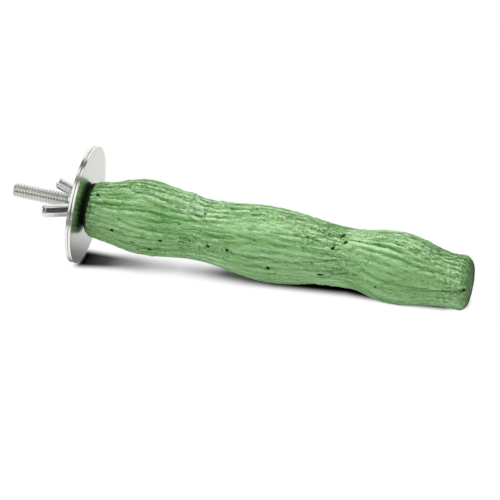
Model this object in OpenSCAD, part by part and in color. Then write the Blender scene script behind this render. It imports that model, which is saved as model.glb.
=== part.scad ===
// Bird perch for a cage: a moulded mineral perch with a threaded stud in its end,
// clamped on the cage wires between two large washers by a wing nut.
// Millimetres. X runs along the perch, +X towards its free end, +Z up.
// The origin is the clamp plane, where the two washers meet on the stud's axis.

/* [Perch body] */
// Length of the moulded body
body_len = 168; // [120:1:200]
// Diameter where the body meets the washer
end_d = 24.4; // [22:0.1:30]
// Diameter of the swell nearest the washer
swell_1_d = 32.6; // [28:0.1:40]
// Diameter of the waist after the first swell
waist_1_d = 26.8; // [20:0.1:32]
// Diameter of the middle swell
swell_2_d = 32.5; // [28:0.1:40]
// Diameter of the waist after the middle swell
waist_2_d = 25.7; // [20:0.1:32]
// Diameter of the far swell
swell_3_d = 31.4; // [28:0.1:40]
// Diameter of the straight stretch at the free end
tip_d = 23.8; // [18:0.1:30]
// Rounding of the end at the washer
near_round = 4; // [1:0.1:5]
// Rounding of the free end
far_round = 3.6; // [1:0.1:5]
// How far the body's middle line strays from the stud's axis
wander = 1; // [0:0.1:2]

/* [Bark grooves] */
// Number of lengthwise grooves round the body
groove_count = 28; // [16:1:28]
// Depth of the deepest groove
groove_depth = 1; // [0.2:0.1:1.5]
// Distance between the modelled rings along the body
ring_step = 2.6; // [2.6:0.1:6]

/* [Core dowel] */
// Diameter of the wooden dowel cast in the body
dowel_d = 12.7; // [11:0.1:14]
// Length of the dowel
dowel_len = 139.7; // [60:0.1:145]
// Chamfer on the dowel's ends
dowel_chamfer = 0.8; // [0.2:0.1:1.5]

/* [Hanger bolt] */
// Outside diameter of the machine thread
stud_d = 6.35; // [5:0.05:7.5]
// Pitch of the machine thread
thread_pitch = 1.27; // [0.8:0.01:1.5]
// Reach of the stud behind the clamp plane
stud_out = 31.8; // [28:0.1:45]
// Chamfer on the stud's tip
stud_chamfer = 0.8; // [0.3:0.1:1.2]
// Length of the bolt inside the perch
bolt_in = 30.5; // [20:0.5:50]
// Length of the wood thread's tapered point
point_len = 7; // [4:0.5:10]
// Diameter of the wood thread's flat point
point_d = 1.6; // [1:0.1:2.5]

/* [Washers] */
// Diameter of both washers
washer_d = 50.8; // [38:0.1:60]
// Thickness of each washer
washer_t = 1.2; // [0.8:0.05:2.5]
// Chamfer round the washers' rims
rim_chamfer = 0.25; // [0.1:0.05:0.35]

/* [Wing nut] */
// Diameter of the nut's hub at its seat
hub_d = 12.4; // [11.5:0.1:16]
// Height of the hub
hub_h = 6.2; // [5:0.1:9]
// Distance across the tips of the wings
wing_span = 26.6; // [25:0.1:34]
// Height of the whole nut
nut_h = 15.3; // [14:0.1:20]
// Angle at which the wings flare out from the axis
wing_flare = 27; // [20:1:30]
// Width of a wing, seen flat
wing_w = 4.7; // [4:0.1:5.4]
// Thickness of a wing
wing_t = 2.6; // [1.8:0.1:3.5]
// Rounding of the wings' corners
wing_round = 1.3; // [0.5:0.1:1.6]
// Height of the thumb pad along a wing's outer edge
pad_h = 4.9; // [3.6:0.1:6]
// Thickness of the thumb pad
pad_t = 3.4; // [1.2:0.1:3.6]
// Length of the thumb pad down from the wing's tip
pad_len = 9.5; // [5:0.1:10]
// Chamfer on the hub's outer edges
hub_chamfer = 0.5; // [0.2:0.1:0.8]

/* [Fits] */
// Gap all round between the cast-in pieces and what holds them
cast_gap = 0.05; // [0.03:0.01:0.1]
// Gap all round between the nut's bore and the thread
thread_gap = 0.05; // [0.03:0.01:0.1]
// Gap all round between the washers' holes and the thread
washer_gap = 0.4; // [0.3:0.05:0.8]

/* [Hidden] */
// The thread's mean diameter: the bolt has it where the washers and the nut sit at rest
THREAD_DEPTH_SHARE = 0.65;
thread_mean_d = stud_d - THREAD_DEPTH_SHARE * thread_pitch;
washer_hole_d = stud_d + 2 * washer_gap;
nut_bore_d = stud_d + 2 * thread_gap;
bolt_hole_d = thread_mean_d + 2 * cast_gap;
body_x = washer_t;
nut_x = -washer_t;
// The nut's back face, and the end of the narrow stretch just past it
hub_top_x = nut_x - hub_h;
free_x = hub_top_x - thread_pitch / 4;
// The hub narrows from its seat to its back face
hub_top_d = hub_d - 2 * hub_chamfer;
// A cut runs this far past the face that it opens
overrun = 1;
// Samples round each groove, and steps in each rounded end
GROOVE_SIDES = 3;
ROUND_STEPS = 3;
sides = groove_count * GROOVE_SIDES;

// The swells and waists: their places along the body, their diameters, and how far
// the middle line strays upwards there
STATION_SHARES = [0, 0.012, 0.154, 0.305, 0.478, 0.683, 0.805, 0.953, 1];
STATION_D = [end_d, end_d, swell_1_d, waist_1_d, swell_2_d, waist_2_d, swell_3_d, tip_d, tip_d];
WANDER_SHARES = [0, -1.5, 0, -0.45, -0.55, 1, 0.9, 0.5, 0.5];

// Smooth step from 0 to 1
function ease(t) = (1 - cos(180 * t)) / 2;
// The station before a place along the body, as a share of its length
function station(share) =
    max([for (i = [0 : len(STATION_SHARES) - 2]) if (STATION_SHARES[i] <= share) i]);
// A table's value at a place along the body, eased from station to station
function along(table, share) =
    let (
        i = station(share),
        from_share = STATION_SHARES[i],
        t = (share - from_share) / (STATION_SHARES[i + 1] - from_share)
    )
    table[i] + (table[i + 1] - table[i]) * ease(t);

// Grooves: each wanders slowly round the body and fades in and out along it
GROOVE_SWAY = 9;
SWAY_WAVES = 1.3;
function groove_turn(share) = GROOVE_SWAY * sin(360 * SWAY_WAVES * share);
// How deep a groove is at a place, from 0.25 to 1: three slow waves out of step
function groove_fade(angle, share) =
    0.62 + 0.2 * sin(3 * angle + 500 * share)
         + 0.1 * sin(7 * angle - 1400 * share)
         + 0.08 * sin(11 * angle + 2600 * share);
// The valley of each groove is its first sample, and the ridge holds the others
function in_groove(side) = side % GROOVE_SIDES == 0 ? 1 : (side % GROOVE_SIDES == 1 ? 0.3 : 0);

// The pocket that the dowel leaves in the casting: its flats clear the dowel all round
pocket_r = (dowel_d / 2 + cast_gap) / cos(180 / sides);
pocket_len = dowel_len + cast_gap;
// The rounding at the washer leaves this much flat round the pocket's mouth
mouth_wall = 0.6;
near_r = min(near_round, end_d / 2 - groove_depth - pocket_r - mouth_wall);

// Places of the rings along the body: close in the rounded ends, even between them
even_len = body_len - near_r - far_round;
ring_gaps = floor(even_len / ring_step);
// How far a rounded end draws in, and how far it reaches, at each of its steps
function draw_in(round_r, step) = round_r * (1 - sin(90 * step / ROUND_STEPS));
function reach(round_r, step) = round_r * (1 - cos(90 * step / ROUND_STEPS));
// Each ring: [distance from the washer, how far the rounding draws it in]
rings = concat(
    [for (s = [0 : ROUND_STEPS]) [reach(near_r, s), draw_in(near_r, s)]],
    [for (g = [1 : ring_gaps - 1]) [near_r + even_len * g / ring_gaps, 0]],
    [for (s = [ROUND_STEPS : -1 : 0]) [body_len - reach(far_round, s), draw_in(far_round, s)]]
);

function ring_point(ring, side) =
    let (
        share = ring[0] / body_len,
        angle = 360 * side / sides,
        depth = groove_depth * in_groove(side) * groove_fade(angle, share),
        r = along(STATION_D, share) / 2 - ring[1] - depth,
        turned = angle + groove_turn(share)
    )
    [ring[0], r * cos(turned), r * sin(turned) + wander * along(WANDER_SHARES, share)];

function pocket_loop(x) =
    [for (side = [0 : sides - 1])
        let (angle = 360 * side / sides)
        [x, pocket_r * cos(angle), pocket_r * sin(angle)]];
function skin_loop(ring) = [for (side = [0 : sides - 1]) ring_point(ring, side)];

// The casting: loops of points joined into triangles, from the bottom of the pocket
// out round its mouth, and along the grooved skin to the free end
module grooved_casting() {
    loops = concat(
        [pocket_loop(pocket_len), pocket_loop(0)],
        [for (ring = rings) skin_loop(ring)]
    );
    last = len(loops) - 1;
    walls = [for (i = [0 : last - 1]) for (j = [0 : sides - 1])
        let (
            a = i * sides + j,
            b = i * sides + (j + 1) % sides
        )
        each [[a, a + sides, b], [b, a + sides, b + sides]]];
    pocket_bottom = [for (j = [0 : sides - 1]) j];
    free_end = [for (j = [sides - 1 : -1 : 0]) last * sides + j];
    polyhedron(
        points = [for (loop = loops) each loop],
        faces = concat(walls, [pocket_bottom, free_end])
    );
}

// A piece drawn round Z, laid along +X
module along_x() {
    rotate([0, 90, 0])
        children();
}

module perch_body() {
    color("#82b276")
        translate([body_x, 0, 0])
            grooved_casting();
}

module core_dowel() {
    r = dowel_d / 2;
    color("burlywood")
        translate([body_x, 0, 0])
            along_x()
                difference() {
                    rotate_extrude($fn = 96)
                        polygon([
                            [0, 0], [r - dowel_chamfer, 0], [r, dowel_chamfer],
                            [r, dowel_len - dowel_chamfer], [r - dowel_chamfer, dowel_len],
                            [0, dowel_len]
                        ]);
                    bolt_hole();
                }
}

// The hole that the wood thread cuts in the dowel, to the same outline as the bolt
module bolt_hole() {
    rotate_extrude($fn = 96)
        polygon([
            [0, -overrun], [bolt_hole_d / 2, -overrun],
            [bolt_hole_d / 2, bolt_in - point_len],
            [point_d / 2 + cast_gap, bolt_in + cast_gap], [0, bolt_in + cast_gap]
        ]);
}

// The bolt: a machine-threaded stud outside and a pointed wood-threaded shank inside.
// The free stretch has the machine thread's full diameter, the rest its mean diameter.
module hanger_bolt() {
    free_r = stud_d / 2;
    mean_r = thread_mean_d / 2;
    color("silver")
        along_x()
            rotate_extrude($fn = 96)
                polygon([
                    [0, -stud_out], [free_r - stud_chamfer, -stud_out],
                    [free_r, -stud_out + stud_chamfer], [free_r, free_x],
                    [mean_r, free_x], [mean_r, body_x + bolt_in - point_len],
                    [point_d / 2, body_x + bolt_in], [0, body_x + bolt_in]
                ]);
}

// A flat round washer with a broken rim, from z = 0 up
module washer() {
    r = washer_d / 2;
    rotate_extrude($fn = 192)
        polygon([
            [washer_hole_d / 2, 0], [r - rim_chamfer, 0], [r, rim_chamfer],
            [r, washer_t - rim_chamfer], [r - rim_chamfer, washer_t],
            [washer_hole_d / 2, washer_t]
        ]);
}

module front_washer() {
    color("gainsboro")
        along_x()
            washer();
}

module back_washer() {
    color("lightgrey")
        translate([-washer_t, 0, 0])
            along_x()
                washer();
}

// One wing, drawn with the nut standing on its seat: a rounded bar that flares
// from inside the hub to a tip that reaches the nut's full height and span,
// with a thumb pad along its outer edge
module wing() {
    corner = wing_w / 2 - wing_round;
    tip_y = wing_span / 2 - wing_round - corner * cos(wing_flare);
    tip_z = nut_h - wing_round - corner * sin(wing_flare);
    wing_len = (tip_z - hub_h / 2) / cos(wing_flare);
    pad_top = wing_round - pad_t / 2;
    rotate([0, -90, 0])
        translate([tip_z, tip_y, 0])
            rotate(wing_flare) {
                linear_extrude(height = wing_t, center = true)
                    hull()
                        for (end = [0, -wing_len], side = [-1, 1])
                            translate([end, side * corner])
                                circle(r = wing_round, $fn = 32);
                linear_extrude(height = pad_h, center = true)
                    hull()
                        for (end = [pad_top, pad_top - pad_len])
                            translate([end, wing_w / 2 - pad_t / 2])
                                circle(d = pad_t, $fn = 32);
            }
}

module wing_nut() {
    color("silver")
        translate([nut_x, 0, 0])
            rotate([0, -90, 0])
                difference() {
                    union() {
                        rotate_extrude($fn = 96)
                            polygon([
                                [0, 0], [hub_d / 2 - hub_chamfer, 0], [hub_d / 2, hub_chamfer],
                                [hub_top_d / 2, hub_h - hub_chamfer],
                                [hub_top_d / 2 - hub_chamfer, hub_h], [0, hub_h]
                            ]);
                        wing();
                        rotate(180)
                            wing();
                    }
                    translate([0, 0, -overrun])
                        cylinder(d = nut_bore_d, h = overrun + nut_h, $fn = 96);
                }
}

perch_body();
core_dowel();
hanger_bolt();
front_washer();
back_washer();
wing_nut();
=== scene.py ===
"""Looks of the bird perch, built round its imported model.

Metres, in the frame of the model: X runs along the perch with +X towards its free
end, +Z is up, and the origin is where the two washers meet on the stud's axis.
Sizes are written in millimetres and turned into metres where a mesh is made.
"""

import math
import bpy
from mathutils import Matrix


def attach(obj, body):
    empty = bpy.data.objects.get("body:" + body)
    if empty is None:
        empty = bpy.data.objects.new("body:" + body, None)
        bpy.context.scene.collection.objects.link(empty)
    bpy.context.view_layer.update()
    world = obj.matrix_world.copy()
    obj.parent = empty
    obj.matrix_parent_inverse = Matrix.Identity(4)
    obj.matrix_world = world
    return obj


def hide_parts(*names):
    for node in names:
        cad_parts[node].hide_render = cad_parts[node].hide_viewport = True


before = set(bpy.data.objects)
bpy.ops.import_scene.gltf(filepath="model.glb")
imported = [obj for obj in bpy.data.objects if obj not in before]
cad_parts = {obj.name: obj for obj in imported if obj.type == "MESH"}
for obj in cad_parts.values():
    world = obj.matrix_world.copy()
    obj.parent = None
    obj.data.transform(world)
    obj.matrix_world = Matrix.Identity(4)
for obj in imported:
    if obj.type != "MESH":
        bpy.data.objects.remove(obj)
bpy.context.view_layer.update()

from types import SimpleNamespace

import bmesh
import bpy
import numpy as np
from mathutils import Matrix, Vector

MM = 0.001
TURN = 2 * math.pi

# Sizes that the model has too, in millimetres
BODY_LEN = 168
BODY_X = 1.2
GROOVE_COUNT = 28
GROOVE_DEPTH = 1
GROOVE_SWING = math.radians(9)
GROOVE_WAVES = 1.3
NEAR_ROUND = 4.6
FAR_ROUND = 3.6
POCKET_R = 6.4
POCKET_LEN = 139.75
STUD_R = 3.175
STUD_OUT = 31.8
STUD_CHAMFER = 0.8
THREAD_PITCH = 1.27
BOLT_IN = 30.5
WASHER_R = 25.4
WASHER_T = 1.2
WASHER_HOLE_R = 3.575
WASHER_GAP = 0.01
NUT_X = -1.2
NUT_BORE_R = 3.225
HUB_R = 6.2
HUB_H = 6.2
WING_SPAN = 26.6
NUT_H = 15.3
WING_FLARE = math.radians(27)
WING_W = 4.7
WING_T = 2.6
WING_ROUND = 1.3
PAD_H = 4.9
PAD_T = 3.4
PAD_LEN = 9.5
PAD_DRAFT = 0.3
PAD_FULLER = 0.3

# The swells and waists: place, diameter, and how far the middle line rises there
STATION_SHARES = np.array([0, 0.012, 0.154, 0.305, 0.478, 0.683, 0.805, 0.953, 1])
STATION_D = np.array([24.4, 24.4, 32.6, 26.8, 32.5, 25.7, 31.4, 23.8, 23.8])
STATION_RISE = np.array([0, -1.5, 0, -0.45, -0.55, 1, 0.9, 0.5, 0.5])


# Helpers

WELD_GAP = 0.001


def weld_and_cap(bm):
    """Joins points that lie on each other and closes open ends."""
    bmesh.ops.remove_doubles(bm, verts=bm.verts, dist=WELD_GAP * MM)
    bmesh.ops.holes_fill(bm, edges=[edge for edge in bm.edges if edge.is_boundary])


def show(name, data):
    """A new object in the scene, from a mesh, a camera or a lamp."""
    thing = bpy.data.objects.new(name, data)
    bpy.context.scene.collection.objects.link(thing)
    return thing


def new_object(name, points, faces, change=None):
    """A smooth object from points in millimetres, with its faces turned outwards."""
    mesh = bpy.data.meshes.new(name)
    mesh.from_pydata((np.asarray(points, float) * MM).tolist(), [], faces)
    mesh.validate()
    bm = bmesh.new()
    bm.from_mesh(mesh)
    if change:
        change(bm)
    bmesh.ops.recalc_face_normals(bm, faces=bm.faces)
    bm.to_mesh(mesh)
    bm.free()
    mesh.shade_smooth()
    return show(name, mesh)


def grid_faces(rows, sides, closed=True):
    """Quads between neighbouring rows of points. Closed rows are rings."""
    i, j = np.meshgrid(np.arange(rows - 1), np.arange(sides if closed else sides - 1), indexing="ij")
    a = (i * sides + j).ravel()
    b = (i * sides + (j + 1) % sides).ravel()
    return np.stack([a, b, b + sides, a + sides], axis=1).tolist()


def angles_round(sides):
    """Even angles round a circle, in radians."""
    return np.arange(sides) * TURN / sides


def rings_round_x(x, r, angle):
    """Rings of points round X, from their places along it and their radii."""
    across = r * np.cos(angle)
    return np.stack([np.broadcast_to(x, across.shape), across, r * np.sin(angle)], axis=-1)


def closed_rings(name, rings, first_tip, last_tip):
    """A closed form of rings of points, ended by a point at each side."""
    count, sides = rings.shape[:2]
    points = np.concatenate([rings.reshape(-1, 3), [first_tip, last_tip]])
    faces = grid_faces(count, sides)
    first, last = count * sides, count * sides + 1
    for j in range(sides):
        k = (j + 1) % sides
        faces.append([first, k, j])
        faces.append([last, (count - 1) * sides + j, (count - 1) * sides + k])
    return new_object(name, points, faces)


def lathe(name, profile, sides, closed=True):
    """A form turned round X from a profile of (x, radius), capped where it is open."""
    profile = np.asarray(profile, float)
    rings = rings_round_x(profile[:, :1], profile[:, 1:], angles_round(sides))
    if closed:
        rings = np.concatenate([rings, rings[:1]])
    return new_object(name, rings.reshape(-1, 3), grid_faces(len(rings), sides), weld_and_cap)


def modify(thing, kind, **settings):
    """Reshapes an object's mesh by a modifier."""
    modifier = thing.modifiers.new(kind, kind)
    for key, value in settings.items():
        setattr(modifier, key, value)
    depsgraph = bpy.context.evaluated_depsgraph_get()
    mesh = bpy.data.meshes.new_from_object(thing.evaluated_get(depsgraph))
    thing.modifiers.clear()
    thing.data = mesh


def sharp_shading(thing, degrees):
    """Smooth shading, but not over edges sharper than an angle."""
    thing.data.shade_smooth()
    thing.data.set_sharp_from_angle(angle=math.radians(degrees))


def set_values(thing, name, values):
    """Gives each point of an object a value that its material reads."""
    layer = thing.data.attributes.new(name, "FLOAT", "POINT")
    layer.data.foreach_set("value", values.ravel().astype(np.float32))


def dress(thing, material):
    """Gives an object one material."""
    thing.data.materials.clear()
    thing.data.materials.append(material)


def smooth_step(t):
    """Smooth step from 0 to 1."""
    t = np.clip(t, 0, 1)
    return t * t * (3 - 2 * t)


def ease(value, low, high):
    """0 up to low, 1 from high on, and a smooth step between them."""
    return smooth_step((value - low) / (high - low))


def blend(a, b, t):
    """From a to b as t goes from 0 to 1."""
    return a * (1 - t) + b * t


# Perch body

BODY_SIDES = 252
RING_GAP = 0.48
NEAR_STEPS = 9
FAR_STEPS = 13
FAR_FACE_STEPS = 18

# Waves that let a groove fade in and out: how many round the body, degrees that they
# turn along it, and strength, round a mean
FADE_WAVES = ((3, 500, 0.2), (7, -1400, 0.1), (11, 2600, 0.08))
FADE_MEAN = 0.62
# Noise over the body: length of a cell along it, cells round it, and seed. First how
# far it moves the grooves, in grooves, and what fades them in patches
NOISE_ROWS = 512
LANE_NOISES = ((15, 14, 3, 0.34), (6, 40, 4, 0.16))
PATCH_NOISE = (13, 22, 5)
PATCH_LEAST = 0.4
VALLEY_POWER = 1.6
GROOVE_LEFT = 0.42
# Then how high it raises the casting, and how much more where that is crumbly
HEIGHT_NOISES = (
    (9, 10, 6, 0.06, 0), (5, 110, 7, 0.05, 0), (1.5, 64, 8, 0.02, 0.22), (0.9, 120, 9, 0.035, 0.2),
)

# Strokes that the trowel and the straw left, from broad to fine: how many, and the
# lowest and highest length, half width, lift and base
STROKES = (
    (190, (22, 52), (1.2, 2.3), (0.25, 0.5), (-0.05, 0.12)),
    (420, (12, 34), (0.7, 1.2), (0.18, 0.36), (0, 0.16)),
    (1100, (4, 14), (0.4, 0.7), (0.08, 0.2), (0.06, 0.26)),
)
STROKE_SEED = 11
STROKE_DRIFT = 3.5
STROKE_TAPER = 0.22
BASE_POWER = 0.3
STROKE_LEAST_R = 8
STROKE_LOSS = 0.5

# Small lumps: the lowest and highest size, lift and length, and how many stay where
# the casting isn't crumbly
CRUMBS = 2600
CRUMB_SEED = 17
CRUMB_SPANS = ((0.4, 0.95), (0.12, 0.42), (0.8, 2))
CRUMB_LEAST_R = 4
CRUMB_SHARE = 0.12

# Parts of the casting: place, degrees round it, reach along and round it, and a value.
# Where it is crumbly, where it stands out, and where it is lighter or darker: partly
# uneven tone, partly painted light and shade, which lightens its underside.
CRUMBLY = (
    (50, 95, 12, 38, 1), (52, 180, 9, 40, 0.6), (48, 182, 4.5, 20, 1), (30, 205, 12, 14, 0.6),
    (104, 110, 12, 34, 1), (112, 150, 9, 50, 0.6), (152, 105, 10, 40, 0.9), (162, 160, 7, 120, 1),
    (3, 150, 4, 150, 0.9), (45, 300, 14, 50, 0.8), (120, 330, 16, 50, 0.8), (84, 20, 14, 40, 0.6),
    (142, 250, 12, 40, 0.6), (26, 92, 18, 16, 0.6), (80, 92, 22, 15, 0.7), (130, 92, 16, 15, 0.7),
    (97, 62, 7, 17, 0.95), (150, 62, 9, 17, 0.9), (40, 62, 5, 17, 0.9), (66, 236, 8, 14, 0.9),
    (106, 236, 9, 14, 0.9), (12, 236, 14, 14, 0.85), (10, 70, 7, 14, 0.8),
)
SWELLINGS = (
    (44.5, 84, 5.5, 34, 1), (109, 90, 6, 30, -0.7), (158, 75, 8, 30, -0.5),
    (110, 230, 6, 40, 0.5), (122, 230, 4, 40, -0.4), (47, 90, 2.2, 22, 0.45),
)
TONES_AND_PAINTED_LIGHT = (
    (58, 98, 11, 30, 0.6), (36, 142, 9, 25, -0.65), (14, 112, 9, 30, -0.4),
    (85, 98, 14, 28, 0.25), (162, 212, 9, 35, 0.6), (58, 212, 10, 30, 0.4),
    (58, 148, 9, 20, -0.4), (145, 212, 12, 30, 0.35), (91, 212, 14, 30, 0.2),
    (116, 98, 10, 30, 0.7), (28, 95, 10, 20, 0.25), (140, 150, 10, 25, -0.15),
    (15, 150, 9, 22, 0.2), (138, 98, 10, 30, 0.35), (56, 224, 14, 26, 0.42),
    (118, 224, 28, 26, 0.38), (160, 224, 12, 26, 0.25),
)
# The relief is full in a strip along the top. Elsewhere this share of it is left, and
# less towards the free end.
TOP_STRIP = (0, 92, math.inf, 42)
CALM_SHARE = 0.72
CALM_FAR = 0.22
CALM_FAR_X = (108, 122)

# Cast bubbles seen in the photograph: place, degrees round, radius, depth, and how
# many times longer than wide
PITS = (
    (14.9, 181, 0.65, 1.3, 1), (24.4, 194, 0.45, 0.8, 1.6), (31.9, 206, 0.65, 1.2, 1.2),
    (36.4, 182, 0.5, 0.9, 1.5), (5.4, 116, 0.6, 0.9, 1), (26.9, 209, 0.45, 0.7, 1.4),
    (62.9, 91, 0.55, 0.9, 1.2), (52.9, 115, 0.45, 0.8, 1), (65.4, 173, 0.6, 1.1, 1),
    (83.9, 187, 0.65, 1.2, 1.1), (89.9, 116, 0.4, 0.4, 1.4), (97.9, 123, 0.45, 0.7, 1),
    (56.9, 175, 0.5, 0.8, 1.8), (101.9, 169, 0.4, 0.45, 1.5), (105.9, 192, 0.55, 1, 2),
    (92.4, 198, 0.4, 0.7, 1), (129.9, 188, 0.5, 0.9, 1), (135.9, 107, 0.45, 0.7, 1.2),
    (43.4, 146, 0.4, 0.6, 1), (48.4, 172, 0.4, 0.6, 1.5), (116.4, 134, 0.4, 0.6, 1),
    (119.4, 110, 0.4, 0.6, 1.4), (149.9, 88, 0.4, 0.6, 1.5), (153.4, 148, 0.6, 0.3, 1.8),
    (98.4, 229, 0.4, 0.6, 1), (76.4, 146, 0.4, 0.5, 1.5), (54.9, 82, 0.4, 0.6, 1),
    (17.4, 158, 0.4, 0.6, 1),
)
PIT_WIDER = 1.25
PIT_EDGE = 1.35
# Small bubbles all over the body
SMALL_PITS = 150
PIT_SEED = 21
PIT_MARGIN = 2
PIT_SIZES = (0.28, 0.5)
PIT_DEPTHS = (0.25, 0.7)
# Slits across the grain: place, degrees round, half length, half width, depth, lean
SLITS = (
    (111.9, 101, 2.2, 0.7, 1.6, 68), (113.9, 117, 1.3, 0.6, 1.4, 62),
    (109.4, 134.5, 1.3, 0.55, 1.3, 56), (57.0, 176, 1.1, 0.35, 0.8, 50),
    (167.2, 163, 0.8, 0.55, 1.6, 30),
)
SLIT_EDGE = 1.3
# Fine cracks: depth, then places and degrees round
CRACKS = (
    (0.5, ((97.9, 168), (105.4, 165), (110.9, 157), (116.4, 153.5))),
    (0.6, ((105.9, 192), (109.4, 196), (112.4, 186), (117.4, 178))),
    (0.45, ((144.9, 181), (149.9, 181), (156.4, 174), (162.4, 170), (167.4, 166))),
    (0.5, ((22, 110), (26, 107), (31, 108.5), (36, 111.5))),
    (0.5, ((31.4, 125), (35, 118.5), (40, 119), (44.4, 114.5))),
)
CRACK_EDGE = 1.2
CRACK_HALF = 0.5
# Painted shade in the cracks
CRACK_SHADE = 0.36

# The shares of the heights below the skin's outline and below its hollows, and how
# far a swelling may stand out
TOP_SHARE = 0.97
LOW_SHARE = 0.02
MOST_OUT = 0.9
# How high a crest stands above what is some cells along and round it
CREST_LIFT = 0.2
CREST_CELLS = (2, 4)

# Where the relief is held back: beside the washer, in the middle of the far face, and
# on the free end's underside and rounding
NEAR_GROWTH = 1.5
FACE_R = 11
FACE_LEAST = 0.35
UNDER_SINE = 0.5
UNDER_X = (BODY_LEN - 6, BODY_LEN - 2)
UNDER_LOSS = 0.55
FAR_RELIEF = 0.7
# The free end leans back at its top
END_TILT = 3
TILT_LEN = 8
TILT_R = 12
TILT_POWER = 4
# Painted shade on the two ends, by how far the skin faces along X: on both, on the
# shoulder at the washer, and on the far face, with more towards its far rim
END_SHADE = 0.4
SHADE_FACING = (3 / 14, 13 / 14)
FAR_SHARE = 0.5
SHOULDER_SHADE = 0.72
SHOULDER_FACING = (0.35, 0.75)
FAR_FACE_SHADE = 0.2
END_FACING = (0.72, 0.97)
FAR_RIM_SHADE = 0.38
RIM_TURN = 0.5
RIM_COSINE = (-0.8, 0.9)
RIM_R = 9


def along(table, x):
    """A table's value at places along the body, eased from station to station."""
    share = x / BODY_LEN
    i = np.searchsorted(STATION_SHARES, share, side="right") - 1
    i = np.clip(i, 0, len(STATION_SHARES) - 2)
    start, end = STATION_SHARES[i], STATION_SHARES[i + 1]
    t = (1 - np.cos(np.pi * (share - start) / (end - start))) / 2
    return table[i] + (table[i + 1] - table[i]) * t


def rounding(radius, degrees):
    """How far along and how far inwards a rounded edge lies at an angle."""
    turn = math.radians(degrees)
    return radius * (1 - math.cos(turn)), radius * (1 - math.sin(turn))


def outline_rows():
    """The body's outline from the washer to the middle of the free end: places,
    radii, and how many degrees the skin faces along X."""
    near_r = STATION_D[0] / 2 - NEAR_ROUND
    rows = []
    for step in range(1, NEAR_STEPS + 1):
        rows.append((0, POCKET_R + (near_r - POCKET_R) * step / NEAR_STEPS, -90))
    for step in range(1, NEAR_STEPS + 1):
        degrees = 90 * step / NEAR_STEPS
        x, drawn = rounding(NEAR_ROUND, degrees)
        rows.append((x, along(STATION_D, x) / 2 - drawn, degrees - 90))
    even = BODY_LEN - NEAR_ROUND - FAR_ROUND
    gaps = round(even / RING_GAP)
    for step in range(1, gaps):
        x = NEAR_ROUND + even * step / gaps
        rows.append((x, along(STATION_D, x) / 2, 0))
    for step in range(FAR_STEPS, -1, -1):
        degrees = 90 * step / FAR_STEPS
        back, drawn = rounding(FAR_ROUND, degrees)
        x = BODY_LEN - back
        rows.append((x, along(STATION_D, x) / 2 - drawn, 90 - degrees))
    far_r = rows[-1][1]
    for step in range(1, FAR_FACE_STEPS):
        rows.append((BODY_LEN, far_r * (1 - step / FAR_FACE_STEPS), 90))
    return rows


def skin_grid():
    """The grid of the body's skin: columns of places along it, radii, angles facing
    along X and distances over the skin, and a row of angles round it."""
    rows = np.array(outline_rows(), float)
    gap = np.hypot(np.diff(rows[:, 0]), np.diff(rows[:, 1]))
    return SimpleNamespace(
        x=rows[:, :1],
        radius=rows[:, 1:2],
        facing=np.radians(rows[:, 2:]),
        run=np.concatenate([[0], np.cumsum(gap)])[:, None],
        angle=angles_round(BODY_SIDES),
    )


def rows_between(skin, low, high):
    """The rings between two places along the body."""
    rows = np.nonzero((skin.x > low) & (skin.x < high))[0]
    return slice(rows[0], rows[-1] + 1) if len(rows) else slice(0)


def turned_away(angle, middle):
    """The turn from a middle to an angle round the body, at most half a turn."""
    return (angle - middle + np.pi) % TURN - np.pi


def spot(skin, place, degrees, reach, spread):
    """1 at a place on the body, fading to 0 over its reach along and round it."""
    away = (np.degrees(skin.angle) - degrees + 180) % 360 - 180
    return np.exp(-(((skin.x - place) / reach) ** 2) - (away / spread) ** 2)


def body_noise(skin, cell, count, seed):
    """Smooth noise from -1 to 1 over the body, which closes round it."""
    u, v = skin.run / cell, skin.angle / TURN * count
    table = np.random.default_rng(seed).uniform(-1, 1, (NOISE_ROWS, count))
    i, j = np.floor(u).astype(int), np.floor(v).astype(int)
    fu, fv = smooth_step(u - i), smooth_step(v - j)

    def side(di):
        row = (i + di) % NOISE_ROWS
        return blend(table[row, j % count], table[row, (j + 1) % count], fv)

    return blend(side(0), side(1), fu)


def groove_turn(x):
    """How far the grooves have wandered round the body, in radians."""
    return GROOVE_SWING * np.sin(TURN * GROOVE_WAVES * (x / BODY_LEN))


def groove_depth(skin):
    """How deep the lengthwise grooves are, in millimetres."""
    turned = (skin.angle - groove_turn(skin.x)) % TURN
    share = skin.x / BODY_LEN
    waves = (size * np.sin(count * turned + np.radians(share * turn)) for count, turn, size in FADE_WAVES)
    lane = turned / TURN * GROOVE_COUNT
    for cell, count, seed, moved in LANE_NOISES:
        lane = lane + moved * body_noise(skin, cell, count, seed)
    valley = (0.5 + 0.5 * np.cos(TURN * lane)) ** VALLEY_POWER
    patchy = 0.5 + 0.5 * body_noise(skin, *PATCH_NOISE)
    return GROOVE_DEPTH * valley * sum(waves, FADE_MEAN) * (PATCH_LEAST + (1 - PATCH_LEAST) * patchy)


def strokes():
    """Ridges along the body, with their sizes and places."""
    rng = np.random.default_rng(STROKE_SEED)
    for count, lengths, halves, lifts, bases in STROKES:
        for _ in range(count):
            length = rng.uniform(*lengths)
            start = rng.uniform(-length / 2, BODY_LEN - length / 3)
            turn, drift = rng.uniform(0, 360), rng.normal(0, STROKE_DRIFT)
            half, lift, base = rng.uniform(*halves), rng.uniform(*lifts), rng.uniform(*bases)
            yield start, length, turn, drift, half, lift, base


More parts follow.
